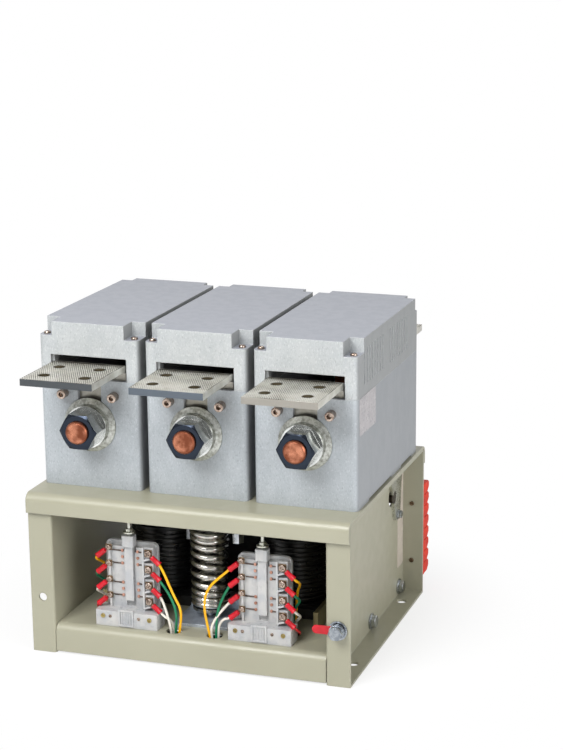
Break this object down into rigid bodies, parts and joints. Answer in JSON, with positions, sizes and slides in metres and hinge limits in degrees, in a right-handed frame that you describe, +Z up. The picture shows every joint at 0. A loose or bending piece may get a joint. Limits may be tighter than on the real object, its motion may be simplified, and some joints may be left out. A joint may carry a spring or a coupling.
{
  "type": "vacuum contactor",
  "caption": "Three-phase vacuum contactor: moulded poles with busbars on a folded steel frame that holds the coils, armature, return spring and auxiliary switches.",
  "frame": {"origin": "centre of the four mounting holes, on the underside of the frame", "axes": "+X along the row of poles to the right seen from the front, -Y towards the front with the stem nuts and auxiliary switches, +Z up"},
  "size_m": [0.35, 0.38, 0.35],
  "materials": {
    "frame_paint": "satin",
    "zinc": "satin",
    "bright_zinc": "polished",
    "magnet_steel": "satin",
    "spring_steel": "polished",
    "shaft_steel": "satin",
    "coil_tape": "matt",
    "bobbin_plastic": "matt",
    "pole_moulding": "matt, speckled",
    "cover_moulding": "matt, speckled",
    "tinned_copper": "knurled",
    "copper": "satin",
    "ceramic": "glazed",
    "insulator_red": "satin",
    "nylon": "satin, slightly translucent",
    "terminal_orange": "satin",
    "wire_insulation": "satin",
    "lug_red": "satin",
    "contact_copper": "satin"
  },
  "bodies": {
    "frame": {"side_frame_left": "frame_paint", "side_frame_right": "frame_paint", "top_plate": "frame_paint", "base_plate": "frame_paint", "frame_bolts": "bright_zinc", "earth_bolt": "bright_zinc", "earth_lug": "lug_red", "magnet_yoke": "magnet_steel", "magnet_cores": "magnet_steel", "coils": "coil_tape", "coil_bobbins": "bobbin_plastic", "spring_bracket": "zinc", "spring_adjuster": "bright_zinc", "return_spring": "spring_steel", "bearing_plates": "zinc", "aux_switch_left": "nylon", "aux_switch_right": "nylon", "aux_contacts": "contact_copper", "aux_screws": "bright_zinc", "wire_lugs": "lug_red", "control_wires": "wire_insulation", "terminal_block": "terminal_orange", "terminal_screws": "zinc", "fixed_stems": "copper", "interrupters": "ceramic", "flexible_links": "copper", "stem_nuts": "bright_zinc", "stem_washers": "bright_zinc", "busbar_screws": "bright_zinc", "cover_screws": "bright_zinc", "pole_screws": "zinc", "pole_body_1": "pole_moulding", "pole_cover_1": "cover_moulding", "line_busbar_1": "tinned_copper", "load_busbar_1": "tinned_copper", "pole_body_2": "pole_moulding", "pole_cover_2": "cover_moulding", "line_busbar_2": "tinned_copper", "load_busbar_2": "tinned_copper", "pole_body_3": "pole_moulding", "pole_cover_3": "cover_moulding", "line_busbar_3": "tinned_copper", "load_busbar_3": "tinned_copper"},
    "armature": {"main_shaft": "shaft_steel", "armature_plate": "magnet_steel", "drive_levers": "zinc", "armature_bolts": "bright_zinc", "actuator_bar": "zinc", "actuator_rods": "zinc"},
    "stem_1": {"moving_stem_1": "copper", "pull_rod_1": "insulator_red", "contact_spring_1": "spring_steel"},
    "stem_2": {"moving_stem_2": "copper", "pull_rod_2": "insulator_red", "contact_spring_2": "spring_steel"},
    "stem_3": {"moving_stem_3": "copper", "pull_rod_3": "insulator_red", "contact_spring_3": "spring_steel"},
    "plunger_left": {"aux_plunger_left": "nylon"},
    "plunger_right": {"aux_plunger_right": "nylon"}
  },
  "joints": [
    {"name": "armature_tilt", "type": "hinge", "parent": "frame", "child": "armature", "pos_m": [0, 0.0825, 0.128], "axis": [1, 0, 0], "range_deg": [0, 1.8], "stiffness_Nm_per_rad": 80, "springref_deg": -6.88, "deforming": ["return_spring"]},
    {"name": "stem_slide_1", "type": "slide", "parent": "frame", "child": "stem_1", "axis": [0, -1, 0], "range_m": [0, 0.0037]},
    {"name": "stem_slide_2", "type": "slide", "parent": "frame", "child": "stem_2", "axis": [0, -1, 0], "range_m": [0, 0.0037]},
    {"name": "stem_slide_3", "type": "slide", "parent": "frame", "child": "stem_3", "axis": [0, -1, 0], "range_m": [0, 0.0037]},
    {"name": "plunger_slide_left", "type": "slide", "parent": "frame", "child": "plunger_left", "axis": [0, 0, -1], "range_m": [0, 0.0065]},
    {"name": "plunger_slide_right", "type": "slide", "parent": "frame", "child": "plunger_right", "axis": [0, 0, -1], "range_m": [0, 0.0065]}
  ],
  "couplings": [
    {"joint": "stem_slide_1", "follows": "armature_tilt", "m_per_rad": 0.115},
    {"joint": "stem_slide_2", "follows": "armature_tilt", "m_per_rad": 0.115},
    {"joint": "stem_slide_3", "follows": "armature_tilt", "m_per_rad": 0.115},
    {"joint": "plunger_slide_left", "follows": "armature_tilt", "m_per_rad": 0.204},
    {"joint": "plunger_slide_right", "follows": "armature_tilt", "m_per_rad": 0.204}
  ]
}
